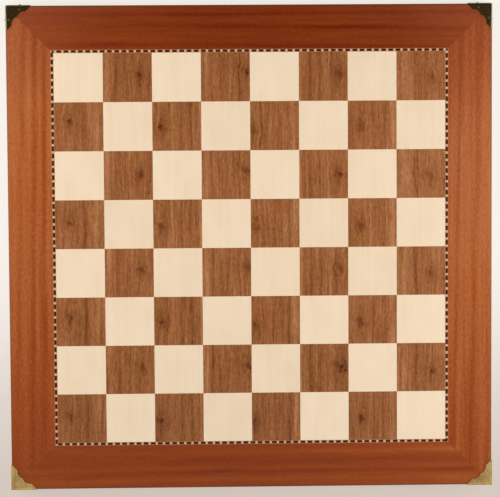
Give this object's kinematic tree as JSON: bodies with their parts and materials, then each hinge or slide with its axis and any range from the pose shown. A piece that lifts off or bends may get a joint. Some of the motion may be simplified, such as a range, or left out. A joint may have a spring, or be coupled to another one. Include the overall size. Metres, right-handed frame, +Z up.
{
  "type": "chess board",
  "caption": "Flat framed chess board: walnut and maple veneer squares, dashed inlay banding, mitred mahogany rails and scalloped brass corner protectors.",
  "frame": {"origin": "middle of the board on the plane that its felt pads stand on", "axes": "+Z up out of the playing face; +X to the right and +Y away from a player who sits at rank 1, with a dark square at the near left corner"},
  "size_m": [0.5504, 0.5504, 0.026],
  "materials": {
    "maple": "satin",
    "walnut": "satin",
    "mahogany": "satin",
    "holly": "satin",
    "ebonised": "satin",
    "fibreboard": "raw",
    "birch": "raw",
    "brass": "aged",
    "felt": "napped"
  },
  "bodies": {
    "root": {"core_panel": "fibreboard", "back_veneer": "mahogany", "maple_rank_1": "maple", "maple_rank_2": "maple", "maple_rank_3": "maple", "maple_rank_4": "maple", "maple_rank_5": "maple", "maple_rank_6": "maple", "maple_rank_7": "maple", "maple_rank_8": "maple", "walnut_rank_1": "walnut", "walnut_rank_2": "walnut", "walnut_rank_3": "walnut", "walnut_rank_4": "walnut", "walnut_rank_5": "walnut", "walnut_rank_6": "walnut", "walnut_rank_7": "walnut", "walnut_rank_8": "walnut", "banding_light_front": "holly", "banding_light_right": "holly", "banding_light_back": "holly", "banding_light_left": "holly", "banding_dashes_front": "ebonised", "banding_dashes_right": "ebonised", "banding_dashes_back": "ebonised", "banding_dashes_left": "ebonised", "frame_rail_front": "mahogany", "frame_rail_right": "mahogany", "frame_rail_back": "mahogany", "frame_rail_left": "mahogany", "mitre_spline_front_left": "birch", "mitre_spline_front_right": "birch", "mitre_spline_back_right": "birch", "mitre_spline_back_left": "birch", "brass_corner_front_left": "brass", "brass_corner_front_right": "brass", "brass_corner_back_right": "brass", "brass_corner_back_left": "brass", "top_pins": "brass", "side_pins": "brass", "felt_pads": "felt"}
  },
  "joints": []
}
